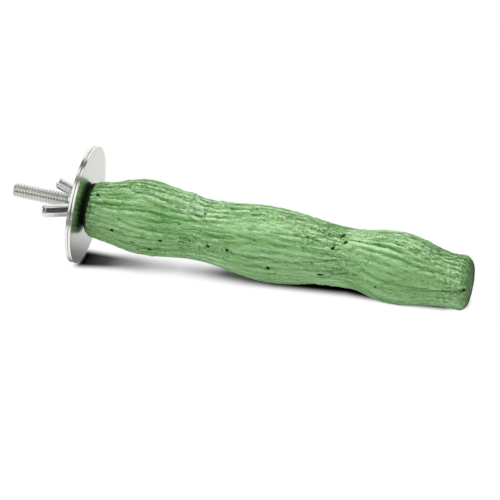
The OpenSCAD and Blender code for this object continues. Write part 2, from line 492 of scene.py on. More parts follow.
def stroke_height(skin):
    """The strokes laid over each other: the highest one shows."""
    height = np.zeros((len(skin.x), len(skin.angle)))
    for start, length, middle, drift, half, lift, base in strokes():
        rows = rows_between(skin, start, start + length)
        x, radius = skin.x[rows], np.maximum(skin.radius[rows], STROKE_LEAST_R)
        t = (x - start) / length
        centre = np.radians(middle + drift * (t - 0.5)) + groove_turn(x)
        away = turned_away(skin.angle, centre) * radius / half
        crown = np.clip(1 - away**2, 0, 1)
        ridge = base * crown**BASE_POWER + lift * crown
        taper = ease(t, 0, STROKE_TAPER) * ease(1 - t, 0, STROKE_TAPER)
        height[rows] = np.maximum(height[rows], ridge * taper)
    return height


def crumb_height(skin, crumbly):
    """Small lumps of the casting, most where it is crumbly."""
    height = np.zeros(crumbly.shape)
    rng = np.random.default_rng(CRUMB_SEED)
    for _ in range(CRUMBS):
        place, turn, keep = rng.uniform(0, BODY_LEN), rng.uniform(0, TURN), rng.uniform()
        size, lift, longer = (rng.uniform(*span) for span in CRUMB_SPANS)
        row = min(np.searchsorted(skin.x[:, 0], place), len(skin.x) - 1)
        column = int(turn / TURN * BODY_SIDES) % BODY_SIDES
        if keep > CRUMB_SHARE + crumbly[row, column]:
            continue
        rows = rows_between(skin, place - size * longer, place + size * longer)
        across = turned_away(skin.angle, turn) * np.maximum(skin.radius[rows], CRUMB_LEAST_R)
        reach = np.hypot((skin.x[rows] - place) / (size * longer), across / size)
        height[rows] = np.maximum(height[rows], lift * np.sqrt(np.clip(1 - reach**2, 0, 1)))
    return height


def body_height(skin, crumbly):
    """How high the casting's ridges, crumbs and swellings lie."""
    height = stroke_height(skin) * (1 - STROKE_LOSS * crumbly)
    height = height - GROOVE_LEFT * groove_depth(skin) + crumb_height(skin, crumbly)
    for cell, count, seed, lift, more in HEIGHT_NOISES:
        height = height + (lift + more * crumbly) * body_noise(skin, cell, count, seed)
    calm = CALM_SHARE - CALM_FAR * ease(skin.x, *CALM_FAR_X)
    height = height * (calm + (1 - calm) * spot(skin, *TOP_STRIP))
    for *place, lift in SWELLINGS:
        height = height + lift * spot(skin, *place)
    return height


def hollows():
    """Pits, small pits and slits: place, degrees round, half length, half width, lean,
    edge, depth and painted shade."""
    for place, degrees, size, depth, longer in PITS:
        wide = size * PIT_WIDER
        yield place, degrees, wide * longer, wide, 0, PIT_EDGE, depth, min(depth, 1)
    rng = np.random.default_rng(PIT_SEED)
    for _ in range(SMALL_PITS):
        place, degrees = rng.uniform(PIT_MARGIN, BODY_LEN - PIT_MARGIN), rng.uniform(0, 360)
        size, depth = rng.uniform(*PIT_SIZES), rng.uniform(*PIT_DEPTHS)
        yield place, degrees, size, size, 0, PIT_EDGE, depth, depth
    for place, degrees, half, wide, depth, lean in SLITS:
        yield place, degrees, half, wide, lean, SLIT_EDGE, depth, 1


def distance_to_line(skin, line):
    """The distance over the skin to a line of places on the body."""
    best = math.inf
    for (xa, aa), (xb, ab) in zip(line, line[1:]):
        px, py = skin.x - xa, (skin.angle - math.radians(aa)) * skin.radius
        dx, dy = xb - xa, math.radians(ab - aa) * skin.radius
        t = np.clip((px * dx + py * dy) / (dx * dx + dy * dy), 0, 1)
        best = np.minimum(best, np.hypot(px - t * dx, py - t * dy))
    return best


def body_marks(skin):
    """How deep the pits, slits and cracks are, and how much painted shade darkens them."""
    deep = np.zeros((len(skin.x), len(skin.angle)))
    dark = np.zeros_like(deep)

    def press(rows, shape, depth, darkness):
        deep[rows] = np.maximum(deep[rows], depth * shape)
        dark[rows] = np.maximum(dark[rows], darkness * shape)

    for place, degrees, half, wide, lean, edge, depth, darkness in hollows():
        rows = rows_between(skin, place - edge * half, place + edge * half)
        dx = skin.x[rows] - place
        dy = turned_away(skin.angle, math.radians(degrees)) * skin.radius[rows]
        c, s = math.cos(math.radians(lean)), math.sin(math.radians(lean))
        away = np.hypot((dx * c - dy * s) / half, (dx * s + dy * c) / wide)
        press(rows, smooth_step(edge - away), depth, darkness)
    for depth, line in CRACKS:
        away = distance_to_line(skin, line) / CRACK_HALF
        press(slice(None), smooth_step(CRACK_EDGE - away), depth, CRACK_SHADE)
    return deep, dark


def softened(grid, along_cells, round_cells):
    """A grid's values averaged over some cells each way along and round the body."""
    steps = range(-round_cells, round_cells + 1)
    mean = sum(np.roll(grid, step, axis=1) for step in steps) / len(steps)
    padded = np.pad(mean, ((along_cells, along_cells), (0, 0)), "edge")
    count = 2 * along_cells + 1
    return sum(padded[step : step + len(grid)] for step in range(count)) / count


def body_relief(skin, crumbly):
    """How far the casting lies below its outline, how high it lies among its ridges,
    how it stands out from what is round it, and how dark its marks are. The last three
    become painted shade in grooves and marks and painted highlight on crests."""
    height = body_height(skin, crumbly)
    deep, dark = body_marks(skin)
    top, low = np.quantile(height, TOP_SHARE), np.quantile(height, LOW_SHARE)
    depth = np.clip(top - height, -MOST_OUT, None) + deep
    tone = np.clip((height - low) / (top - low), 0, 1)
    cells_along, cells_round = CREST_CELLS
    crest = softened(height, cells_along, 0) - softened(height, cells_along, cells_round)
    return depth, tone, np.clip(crest / CREST_LIFT, -1, 1), dark


def held_back(skin, depth, centre_fade):
    """The relief's depth, with less of it where the body has to keep its outline."""
    start = skin.run[NEAR_STEPS]
    depth = depth * ease(skin.run, start, start + NEAR_GROWTH)
    depth = depth * (FACE_LEAST + (1 - FACE_LEAST) * centre_fade)
    depth = np.where(skin.facing == 0, depth, np.clip(depth, 0, None))
    lowest = ease(-np.sin(skin.angle), 0, UNDER_SINE) * ease(skin.x, *UNDER_X)
    return depth * (1 - UNDER_LOSS * lowest) * np.where(skin.facing > 0, FAR_RELIEF, 1)


def skin_rings(skin, depth):
    """The rings of the body's skin, at a depth below its outline."""
    r = skin.radius - depth * np.cos(skin.facing)
    upper = np.clip((1 + r * np.sin(skin.angle) / TILT_R) / 2, 0, 1)
    cut_back = END_TILT * ease(skin.x, BODY_LEN - TILT_LEN, BODY_LEN) * upper**TILT_POWER
    x = BODY_X + skin.x - depth * np.sin(skin.facing) - cut_back
    rings = rings_round_x(x, r, skin.angle)
    rings[..., 2] += along(STATION_RISE, skin.x)
    return rings


def tone_and_painted_end_shade(skin, tone, dark):
    """The tone and the painted shade of the skin, with the casting's parts and its ends."""
    end = np.sin(skin.facing)
    shade = END_SHADE * ease(np.abs(end), *SHADE_FACING)
    tone = tone - shade * np.where(end > 0, FAR_SHARE, 1)
    # Uneven tone and painted light and shade in places
    for *place, shift in TONES_AND_PAINTED_LIGHT:
        tone = tone + shift * spot(skin, *place)
    shoulder = SHOULDER_SHADE * ease(-end, *SHOULDER_FACING)
    rim = ease(np.cos(skin.angle + RIM_TURN), *RIM_COSINE) * smooth_step(skin.radius / RIM_R)
    far_face = (FAR_FACE_SHADE + FAR_RIM_SHADE * rim) * ease(end, *END_FACING)
    return tone, np.maximum(np.maximum(dark, shoulder), far_face)


def build_body():
    """The moulded body, with its relief, pits and cracks, and its painted shade and highlight."""
    skin = skin_grid()
    crumbly = np.max([strength * spot(skin, *place) for *place, strength in CRUMBLY], axis=0)
    depth, tone, crest, dark = body_relief(skin, crumbly)
    centre_fade = np.where(skin.x >= BODY_LEN, smooth_step(skin.radius / FACE_R), 1)
    rings = skin_rings(skin, held_back(skin, depth, centre_fade))
    pocket_x = np.array([[BODY_X + POCKET_LEN], [BODY_X]])
    pocket = rings_round_x(pocket_x, np.full((2, 1), POCKET_R), skin.angle)
    tip = (rings[-1, :, 0].mean(), 0, along(STATION_RISE, BODY_LEN))
    rings = np.concatenate([pocket, rings])
    body = closed_rings("perch_skin", rings, (BODY_X + POCKET_LEN, 0, 0), tip)
    tone, dark = tone_and_painted_end_shade(skin, blend(0.5, tone, centre_fade), dark)
    shades = {"tone": tone, "crest": crest * centre_fade, "mark": dark, "crumb": crumbly}
    for name, values in shades.items():
        unseen = np.full(pocket.shape[:2], 0.5)
        set_values(body, name, np.concatenate([unseen.ravel(), values.ravel(), [0.5, 0.5]]))
    return body


# Stud

STUD_SIDES = 64
THREAD_STEPS = 14
CREST_DROP = 0.02
ROOT_DROP = 0.78
# The shares of half a turn that a thread's root and one flank take
THREAD_SHARES = (0.2, 0.66)
LAG_SHARES = (0.55, 0.45)
SHANK_R = 2.7
SHANK_X = (BODY_X + 0.6, BODY_X + 1.8)
LAG_PITCH = 2.4
LAG_LEN = 22
LAG_GROWTH = 1.5
LAG_ROOT_R = 1.95
LAG_DEPTH = 0.75
POINT_LEN = 7
POINT_TAPER = 0.62


def thread_height(x, angle, pitch, root, flank):
    """A thread's height from root to crest, 0 to 1."""
    phase = (x / pitch - angle / TURN) % 1
    return np.clip((np.abs(phase - 0.5) * 2 - root) / flank, 0, 1)


def build_stud():
    """The hanger bolt: a machine thread, a short plain shank and a wood thread."""
    inner_end = BODY_X + BOLT_IN
    x = np.arange(-STUD_OUT, inner_end, THREAD_PITCH / THREAD_STEPS)
    x = np.append(x, inner_end)[:, None]
    angle = angles_round(STUD_SIDES)
    crest, root = STUD_R - CREST_DROP, STUD_R - ROOT_DROP
    machine = root + (crest - root) * thread_height(x, angle, THREAD_PITCH, *THREAD_SHARES)
    lag = LAG_ROOT_R + LAG_DEPTH * thread_height(x, angle, LAG_PITCH, *LAG_SHARES)
    lag = lag * (1 - POINT_TAPER * ease(x, inner_end - POINT_LEN, inner_end))
    lag_start = inner_end - LAG_LEN
    r = blend(machine, SHANK_R, ease(x, *SHANK_X))
    r = blend(r, lag, ease(x, lag_start, lag_start + LAG_GROWTH))
    r = np.minimum(r, STUD_R - STUD_CHAMFER + (x + STUD_OUT))
    rings = rings_round_x(x, r, angle)
    return closed_rings("threaded_stud", rings, (-STUD_OUT, 0, 0), (inner_end, 0, 0))


# Washers

WASHER_SIDES = 288
WASHER_SHARP = 30
EDGE_SOFT = 0.38
EDGE_SHARP = 0.14
HOLE_STEPS = 5
RIM_STEPS = 7
FACE_SHARES = np.linspace(0.15, 0.85, 4)


def arc(centre, radius, start, end, steps):
    """Points (x, r) on an arc, with angles in degrees from +x towards +r."""
    turn = np.radians(np.linspace(start, end, steps))
    return [(centre[0] + radius * math.cos(a), centre[1] + radius * math.sin(a)) for a in turn]


def face_points(x, edge, shares):
    """Points (x, r) on a washer's face, between its rounded edges."""
    width = WASHER_R - WASHER_HOLE_R - 2 * edge
    return [(x, WASHER_HOLE_R + edge + width * share) for share in shares]


def build_washer(name, span, die_side):
    """A punched washer over a span of X, with its edges sharper on the die's side."""
    x, end = span
    low, high = (EDGE_SOFT, EDGE_SHARP) if die_side > 0 else (EDGE_SHARP, EDGE_SOFT)
    profile = arc((x + low, WASHER_HOLE_R + low), low, 270, 180, HOLE_STEPS)
    profile += face_points(x, low, FACE_SHARES)
    profile += arc((x + low, WASHER_R - low), low, 180, 90, RIM_STEPS)
    profile += arc((end - high, WASHER_R - high), high, 90, 0, RIM_STEPS)
    profile += face_points(end, high, FACE_SHARES[::-1])
    profile += arc((end - high, WASHER_HOLE_R + high), high, 0, -90, HOLE_STEPS)
    washer = lathe(name, profile, WASHER_SIDES)
    sharp_shading(washer, WASHER_SHARP)
    return washer


# Wing nut

HUB_SIDES = 96
BORE_SIDES = 64
AXIS_R = 0.01
BAR_END_STEPS = 13
BAR_EDGE_STEPS = 7
WING_FILLET = 0.6
PAD_FILLET = 0.5
COUNTERSINK = 0.6
BORE_OUT = 1
# The nut's forms flow into each other: voxel, and how much they are relaxed
VOXEL = 0.2
RELAX = 0.6
RELAX_ROUNDS = 9
NUT_SHARP = 40
# The hub from its flat face to its back: place, and how far inside its full radius
HUB_EDGE = ((0, 0.5), (-0.15, 0.15), (-0.5, 0))
HUB_BACK = ((0.9, 0.55), (0.25, 0.85), (0, 1.4))


def rounded_bar(name, start, end, radius, half_height, fillet, draft=0.0):
    """A filleted bar with rounded ends between two points (along, across), narrower
    by the draft for each millimetre from its middle."""
    (ax, ay), (bx, by) = start, end
    heading = math.atan2(by - ay, bx - ax)
    outline = []
    for cx, cy, first in ((bx, by, -90), (ax, ay, 90)):
        for a in np.radians(np.linspace(first, first + 180, BAR_END_STEPS)):
            outline.append((cx, cy, heading + a))
    rings = []
    for turn in np.radians(np.linspace(-90, 90, BAR_EDGE_STEPS)):
        level = (half_height - fillet) * np.sign(turn) + fillet * math.sin(turn)
        r = radius - (fillet * (1 - math.cos(turn)) + draft * abs(level))
        rings.append([(cx + r * math.cos(a), cy + r * math.sin(a), level) for cx, cy, a in outline])
    rings = np.array(rings)
    return closed_rings(name, rings, rings[0].mean(0), rings[-1].mean(0))


def join(parts, name):
    """One object from several, which may run into each other."""
    bm = bmesh.new()
    for part in parts:
        bm.from_mesh(part.data)
        bpy.data.objects.remove(part)
    mesh = bpy.data.meshes.new(name)
    bm.to_mesh(mesh)
    bm.free()
    return show(name, mesh)


def build_hub():
    """The nut's round hub, which narrows towards its back."""
    profile = [(0, AXIS_R)]
    profile += [(x, HUB_R - inside) for x, inside in HUB_EDGE]
    profile += [(-HUB_H + x, HUB_R - inside) for x, inside in HUB_BACK]
    profile += [(-HUB_H, AXIS_R)]
    hub = lathe("hub", profile, HUB_SIDES, closed=False)
    hub.data.transform(Matrix.Translation((NUT_X * MM, 0, 0)))
    return hub


def build_wing(side):
    """A wing's bars and its thumb pad, drawn along the wing and then leant outwards."""
    corner = WING_W / 2 - WING_ROUND
    tip_out = WING_SPAN / 2 - WING_ROUND - corner * math.cos(WING_FLARE)
    tip_back = NUT_H - WING_ROUND - corner * math.sin(WING_FLARE)
    wing_len = (tip_back - HUB_H / 2) / math.cos(WING_FLARE)
    bars = []
    for across in (-corner, 0, corner):
        ends = (0, across), (-wing_len, across)
        bars.append(rounded_bar("bar", *ends, WING_ROUND, WING_T / 2, WING_FILLET))
    pad_top, pad_y = WING_ROUND - PAD_T / 2, WING_W / 2 - PAD_T / 2
    ends = (pad_top, pad_y), (pad_top - PAD_LEN, pad_y)
    pad_size = PAD_T / 2 + PAD_FULLER, PAD_H / 2 + PAD_FULLER
    bars.append(rounded_bar("pad", *ends, *pad_size, PAD_FILLET, PAD_DRAFT))
    place = Matrix.Translation(((NUT_X - tip_back) * MM, side * tip_out * MM, 0))
    lean = Matrix.Rotation(-WING_FLARE * side, 4, "Z")
    for bar in bars:
        bar.data.transform(place @ lean @ Matrix.Diagonal((-1, side, 1, 1)))
    return bars


def build_bore():
    """What is cut out of the nut: its bore, countersunk at both sides."""
    front, back = NUT_X, NUT_X - HUB_H
    flare = BORE_OUT + COUNTERSINK
    profile = (
        (front + BORE_OUT, AXIS_R), (front + BORE_OUT, NUT_BORE_R + flare),
        (front - COUNTERSINK, NUT_BORE_R), (back + COUNTERSINK, NUT_BORE_R),
        (back - BORE_OUT, NUT_BORE_R + flare), (back - BORE_OUT, AXIS_R),
    )
    return lathe("bore", profile, BORE_SIDES, closed=False)


def build_wing_nut():
    """The cast wing nut: its hub, wings and thumb pads flow into each other."""
    nut = join([build_hub(), *build_wing(1), *build_wing(-1)], "wing_nut_cast")
    modify(nut, "REMESH", mode="VOXEL", voxel_size=VOXEL * MM)
    modify(nut, "SMOOTH", factor=RELAX, iterations=RELAX_ROUNDS)
    cutter = build_bore()
    modify(nut, "BOOLEAN", operation="DIFFERENCE", solver="EXACT", object=cutter)
    bpy.data.objects.remove(cutter)
    sharp_shading(nut, NUT_SHARP)
    return nut


# Materials


def grey(value):
    return (value, value, value, 1)


class Graph:
    """Short calls for building one material's nodes."""

    def __init__(self, name, world=None):
        self.material = world or bpy.data.materials.new(name)
        self.material.use_nodes = True
        self.tree = self.material.node_tree
        self.tree.nodes.clear()
        self.output = self.add("ShaderNodeOutputWorld" if world else "ShaderNodeOutputMaterial")

    def add(self, kind, inputs=(), **settings):
        """A node, with settings and with inputs given by name or number."""
        node = self.tree.nodes.new(kind)
        for key, value in settings.items():
            setattr(node, key, value)
        for key, value in dict(inputs).items():
            if isinstance(value, bpy.types.NodeSocket):
                self.tree.links.new(value, node.inputs[key])
            else:
                node.inputs[key].default_value = value
        return node

    def show(self, shader):
        """Ends the material in a shader."""
        self.tree.links.new(shader.outputs[0], self.output.inputs[0])
        return self.material

    def finish(self, **inputs):
        """Ends the material in a Principled shader."""
        names = {key.replace("_", " "): value for key, value in inputs.items()}
        return self.show(self.add("ShaderNodeBsdfPrincipled", names))

    def math(self, operation, a, b=0.0):
        return self.add("ShaderNodeMath", {0: a, 1: b}, operation=operation).outputs[0]

    def times(self, a, b):
        return self.math("MULTIPLY", a, b)

    def minus(self, a, b):
        return self.math("SUBTRACT", a, b)

    def plus(self, first, *others):
        for other in others:
            first = self.math("ADD", first, other)
        return first

    def weighted(self, *parts):
        """The sum of values, each times its weight."""
        return self.plus(*(self.times(value, weight) for value, weight in parts))

    def centred(self, pattern):
        """A pattern from 0 to 1 moved to lie round 0."""
        return self.minus(pattern, 0.5)

    def spread(self, value, low, high, to_low=0.0, to_high=1.0):
        """A value's range from low to high stretched over another, and held there."""
        inputs = {0: value, 1: low, 2: high, 3: to_low, 4: to_high}
        return self.add("ShaderNodeMapRange", inputs).outputs[0]

    def mix(self, factor, a, b):
        return self.add("ShaderNodeMix", {0: factor, 6: a, 7: b}, data_type="RGBA").outputs[2]

    def mix_shader(self, factor, a, b):
        return self.add("ShaderNodeMixShader", {0: factor, 1: a.outputs[0], 2: b.outputs[0]})

    def ramp(self, value, stops):
        """A colour by a value, from stops of (value, colour or grey)."""
        node = self.add("ShaderNodeValToRGB", {0: value})
        while len(node.color_ramp.elements) < len(stops):
            node.color_ramp.elements.new(0.5)
        for element, (place, colour) in zip(node.color_ramp.elements, stops):
            element.position = place
            element.color = (*colour, 1) if isinstance(colour, tuple) else grey(colour)
        return node.outputs[0]

    def value(self, name):
        """A value that the mesh gives its points."""
        return self.add("ShaderNodeAttribute", attribute_name=name).outputs["Fac"]

    def normal(self, axis):
        """How far the surface faces along an axis."""
        normal = self.add("ShaderNodeNewGeometry").outputs["Normal"]
        return self.add("ShaderNodeSeparateXYZ", {0: normal}).outputs[axis]

    def place(self, along_x=1.0):
        """Places in the object's own space, in millimetres, scaled along X."""
        coordinates = self.add("ShaderNodeTexCoord").outputs["Object"]
        scale = (along_x / MM, 1 / MM, 1 / MM)
        return self.add("ShaderNodeMapping", {0: coordinates, 3: scale}).outputs[0]

    def noise(self, scale, detail=2.0, roughness=0.5, distortion=0.0, along_x=1.0):
        """Noise from about 0 to 1, scaled along X."""
        inputs = {"Vector": self.place(along_x), "Scale": scale, "Detail": detail}
        inputs.update({"Roughness": roughness, "Distortion": distortion})
        return self.add("ShaderNodeTexNoise", inputs).outputs[0]

    def lines(self, pattern, middle, half, edge):
        """1 where a pattern crosses its middle, and 0 beside it."""
        return self.spread(self.math("ABSOLUTE", self.minus(pattern, middle)), half, edge, 1, 0)

    def bump(self, height, distance, strength=1.0):
        """A normal that follows a height."""
        inputs = {"Height": height, "Distance": distance, "Strength": strength}
        return self.add("ShaderNodeBump", inputs).outputs[0]


# The casting's colours, from its hollows to its ridges, as painted shade and highlight
MINERAL_STOPS = (
    (0, (0.05, 0.18, 0.028)), (0.2, (0.105, 0.28, 0.068)), (0.4, (0.19, 0.38, 0.14)),
    (0.52, (0.238, 0.43, 0.188)), (0.64, (0.285, 0.49, 0.23)),
    (0.85, (0.385, 0.61, 0.318)), (1, (0.5, 0.735, 0.42)),
)
# Chalk with painted highlight, then painted shade in hollows, crevices, cracks and pits
CHALK_HIGHLIGHT_GREEN = (0.56, 0.78, 0.49, 1)
HOLLOW_SHADE_GREEN = (0.06, 0.165, 0.04, 1)
CREVICE_SHADE_GREEN = (0.055, 0.16, 0.035, 1)
CRACK_SHADE_GREEN = (0.07, 0.2, 0.045, 1)
BUBBLE_SHADE_GREEN = (0.04, 0.11, 0.03, 1)
PAINTED_SHADE_GREEN = (0.008, 0.024, 0.006, 1)
# The tone where relief and patterns are at their mean, the relief's mean, and how much
# of the painted groove shade and crest highlight goes in
MINERAL_MEAN = 0.507
RELIEF_MEAN = 0.17
GROOVE_SHADE_WEIGHT = 0.34
CREST_HIGHLIGHT_WEIGHT = 0.2
# How strongly the painted relief shade and the patterns show by how far the skin faces up
UPWARDS = (0.3, 0.9)
PATTERN_STOPS = ((0, 0.6), (0.5, 0.35), (0.75, 0.52), (0.92, 0.98))
MINERAL_BUMP = 0.42
MINERAL_GLOSS = 0.2


def mineral_patterns(g):
    """What the casting's colour and relief are made of."""
    return SimpleNamespace(
        tone=g.value("tone"),
        crest=g.value("crest"),
        mark=g.value("mark"),
        crumb=g.value("crumb"),
        facing=g.normal("Z"),
        streaks=g.noise(0.8, 2, 0.5, 0.3, along_x=0.045),
        fibres=g.noise(1.9, 1, 0.5, 0.3, along_x=0.15),
        clouds=g.noise(0.11, 3, 0.55),
        sand=g.noise(2.2, 1, 0.6),
    )


def mineral_base(g, p):
    """The casting's green: painted shade in its grooves and painted highlight on its
    crests, and uneven by its patterns.
    """
    level = g.minus(g.weighted((p.tone, GROOVE_SHADE_WEIGHT), (p.crest, CREST_HIGHLIGHT_WEIGHT)), RELIEF_MEAN)
    level = g.plus(g.times(level, g.spread(p.facing, *UPWARDS, 0.76, 1.25)), MINERAL_MEAN)
    gain = g.ramp(p.facing, PATTERN_STOPS)
    grit = g.spread(p.crumb, 0, 0.8, 1.5, 3.1)
    for pattern, strength in ((p.streaks, 0.35), (p.clouds, 0.1), (p.fibres, 0.9), (p.sand, grit)):
        level = g.plus(level, g.times(g.times(g.centred(pattern), strength), gain))
    return g.ramp(level, MINERAL_STOPS)


def mineral_chalk_highlight_and_shade(g, p, colour):
    """Chalk on the ridges and faces turned up, partly a painted highlight, and painted shade
    in the finest hollows.
    """
    fibres, sand = g.centred(p.fibres), g.centred(p.sand)
    highlight_and_shade_level = g.weighted((p.crest, 0.32), (fibres, 0.75), (sand, 0.65), (p.crumb, 0.17))
    chalk_and_highlight = g.times(g.spread(highlight_and_shade_level, 0.12, 0.5), g.spread(p.facing, *UPWARDS, 0.1, 0.9))
    colour = g.mix(chalk_and_highlight, colour, CHALK_HIGHLIGHT_GREEN)
    hollow_shade = g.times(g.spread(highlight_and_shade_level, -0.12, -0.5), g.spread(p.facing, *UPWARDS, 0.3, 0.8))
    return g.mix(hollow_shade, colour, HOLLOW_SHADE_GREEN)


def mineral_bubbles(g):
    """Small round bubbles in some places of the casting."""
    cells = g.add("ShaderNodeTexVoronoi", {"Vector": g.place(), "Scale": 0.62})
    number = g.add("ShaderNodeSeparateColor", {0: cells.outputs["Color"]}).outputs[0]
    return g.times(g.spread(cells.outputs["Distance"], 0.12, 0.22, 1, 0), g.spread(number, 0.72, 0.76))


def mineral_material():
    """Green, sandy casting: painted shade in its grooves and chalk with painted highlight
    on its ridges.
    """
    g = Graph("mineral")
    p = mineral_patterns(g)
    colour = mineral_chalk_highlight_and_shade(g, p, mineral_base(g, p))
    # Painted shade in worm-like crevices, fine cracks and bubbles
    worms = g.lines(g.noise(0.95, 1, 0.5, 0.8, along_x=0.7), 0.63, 0.015, 0.045)
    worms = g.times(worms, g.spread(p.crumb, 0.15, 0.7, 0.1, 0.9))
    colour = g.mix(worms, colour, CREVICE_SHADE_GREEN)
    cracks = g.lines(g.noise(0.55, 1, 0.5, 0.2, along_x=0.07), 0.5, 0.01, 0.03)
    cracks = g.times(cracks, g.spread(g.noise(0.25, 1, along_x=0.5), 0.45, 0.58))
    colour = g.mix(g.times(cracks, 0.6), colour, CRACK_SHADE_GREEN)
    # Painted shade in the pits, slits and cracks, and on the shoulder and far face
    colour = g.mix(g.spread(p.mark, 0.12, 0.6), colour, PAINTED_SHADE_GREEN)
    bubbles = mineral_bubbles(g)
    colour = g.mix(g.times(bubbles, 0.6), colour, BUBBLE_SHADE_GREEN)
    height = g.weighted((p.sand, 0.8), (p.fibres, 0.8), (p.streaks, 0.7))
    height = g.minus(height, g.times(g.plus(bubbles, g.plus(worms, cracks)), 0.6))
    return g.finish(
        Base_Color=colour,
        Roughness=g.spread(p.sand, 0.3, 0.7, 0.8, 0.95),
        Normal=g.bump(height, MINERAL_BUMP * MM),
        Specular_IOR_Level=MINERAL_GLOSS,
    )


# Plated metals: colour, roughness, bump, how fine their unevenness is and how dull it
# gets, and the colour of what doesn't face along X, a painted highlight on the washers' rims
METALS = {
    "washer_plate": ((0.655, 0.66, 0.62), (0.19, 0.26), 0.012, 0.5, 0.95, (0.85, 0.85, 0.8)),
    "stud_zinc": ((0.8, 0.82, 0.77), (0.2, 0.3), 0.02, 1, 0.86, None),
    "nut_zinc": ((0.87, 0.89, 0.88), (0.1, 0.2), 0.12, 1, 0.86, None),
}


def metal_material(name, colour, rough, bump, scale, dull, rim):
    """Plated metal, slightly uneven in tone, shine and surface."""
    g = Graph(name)
    fine = g.noise(scale * 1.6, 3, 0.6)
    broad = g.noise(scale * 0.12, 2, 0.5)
    dulled = tuple(part * dull for part in colour)
    tint = g.mix(g.spread(broad, 0.3, 0.7), (*dulled, 1), (*colour, 1))
    # Paler where the surface doesn't face along X: a painted highlight on the rims
    if rim:
        rim_highlight = g.spread(g.math("ABSOLUTE", g.normal("X")), 0.3, 0.8, 1, 0)
        tint = g.mix(rim_highlight, tint, (*rim, 1))
    return g.finish(
        Base_Color=tint,
        Metallic=1.0,
        Roughness=g.spread(g.weighted((fine, 0.6), (broad, 0.4)), 0.3, 0.7, *rough),
        Normal=g.bump(fine, bump * MM, 0.6),
    )


WOOD_STOPS = ((0.3, (0.56, 0.39, 0.22)), (0.7, (0.42, 0.27, 0.14)))
WOOD_PORE = (0.28, 0.17, 0.08, 1)
WOOD_BUMP = 0.05


def wood_material():
    """Pale birch for the dowel, with grain along X."""
    g = Graph("core_wood")
    grain = g.noise(1.2, 4, 0.6, 0.8, along_x=0.03)
    pores = g.noise(4.5, 1, 0.5, along_x=0.12)
    return g.finish(
        Base_Color=g.mix(g.spread(pores, 0.62, 0.72, 0, 0.5), g.ramp(grain, WOOD_STOPS), WOOD_PORE),
        Roughness=g.spread(grain, 0.3, 0.7, 0.6, 0.75),
        Normal=g.bump(pores, WOOD_BUMP * MM, 0.6),
    )


# Stage

# The photograph's camera: degrees round the perch and above the floor. The floor is
# tilted, because the perch lies on the washer's rim and its far swell.
VIEW_TURN = 14.887
VIEW_RISE = 31.906
FLOOR_TILT = 4.58
VIEW_TARGET = (73.421, 0.016, -5.53)
VIEW_DISTANCE = 1400
VIEW_LENS = 237.49
VIEW_END_M = 10
FLOOR_DROP = 25.64
FLOOR_R = 900
PAPER_TONE = 0.8

# The soft lamps: place and power, then their size and what they are aimed at
LAMPS = (("overhead", (20, 0, 620), 2.7), ("front", (60, -560, 260), 0.75))
LAMP_SIZE = (420, 320)
LAMP_AIM = (84, 0, 0)

# The even light by its direction along X: a dark card stands beyond the free end
AMBIENT = 0.896
AMBIENT_STOPS = ((0, 1), (0.5, 0.625), (0.72, 0.46), (0.9, 0.1), (1, 0.06))

# The painted shadow, a soft strip on the paper below the perch's lowest line: by places
# along it, how dark it is, where its front and back edges lie, and how soft they are
PATCH_X = (-20, 190)
PATCH_Y = (-24, 80)
PATCH_GAP = 1
SHADE_X = (0, 10, 17, 24, 30, 42, 52, 62, 72, 84, 115, 128, 140, 158, 168)
SHADE_DARK = (1, 0.94, 0.79, 0.66, 0.52, 0.4, 0.58, 0.9, 0.95, 1, 1, 1, 1, 1, 1)
SHADE_FRONT = (-9.8, -7.8, -6.7, -6.2, -5.6, -4.1, -3.8, -3.8, -4.4, -4.2, -2.2, -3.2, -3.8, -2.4, 1.5)
SHADE_BACK = (3.8, 3.2, 3.6, 3.6, 3.6, 3.6, 4.4, 6.2, 7, 7, 7, 7, 7, 7, 7)
SHADE_SOFT = (5, 5.5, 7, 8.5, 9, 9, 9, 9, 8, 6, 6.5, 4, 4, 4, 5)
SHADE_ENDS = (-2.5, 166.5)
ENDS_SOFT = 4
# Painted shade that only metal sees: how white it shows the paper across the perch, and
# where along it that sets in
MIRROR_Y = (-22, -14, -3, 1, 7, 12, 20, 50, 75)
MIRROR_SHADE = (1, 0.2, 0.24, 0.33, 0.58, 0.74, 0.82, 0.97, 1)
MIRROR_START = (-12, -3)
# Where metal sees the paper painted dark: on the camera's side, and in a strip on the left
MIRROR_DARK_Y = (-160, -110)
MIRROR_DARK_X = (-46, -36)
MIRROR_DARK_STRIP_Y = (-18, -13, 3, 8)
MIRROR_DARK = 0.06
# What metal mirrors beyond the paper, from the camera's side up over the perch, by
# turns of a circle
STUDIO_STOPS = (
    (0.006, 1), (0.014, 0.08), (0.03, 0.08), (0.042, 1.1), (0.19, 1.1), (0.202, 0.06),
    (0.232, 0.06), (0.245, 1.1), (0.285, 1.1), (0.297, 0.06), (0.345, 0.06), (0.36, 1.1),
)
# Dark cards at both ends, which metal mirrors too: how far along X they start and are
# full, and the heights where they fade in and out
SIDE_CARDS = (0.3, 0.42)
CARD_LOW = (-0.2, -0.12)
CARD_HIGH = (0.3, 0.4, 1, 0)
CARD_TONE = 0.05


def floor_frame():
    """The floor's up and its level direction along the perch."""
    tilt = math.radians(FLOOR_TILT)
    up = Vector((-math.sin(tilt), 0, math.cos(tilt)))
    level = Vector((math.cos(tilt), 0, math.sin(tilt)))
    return up, level


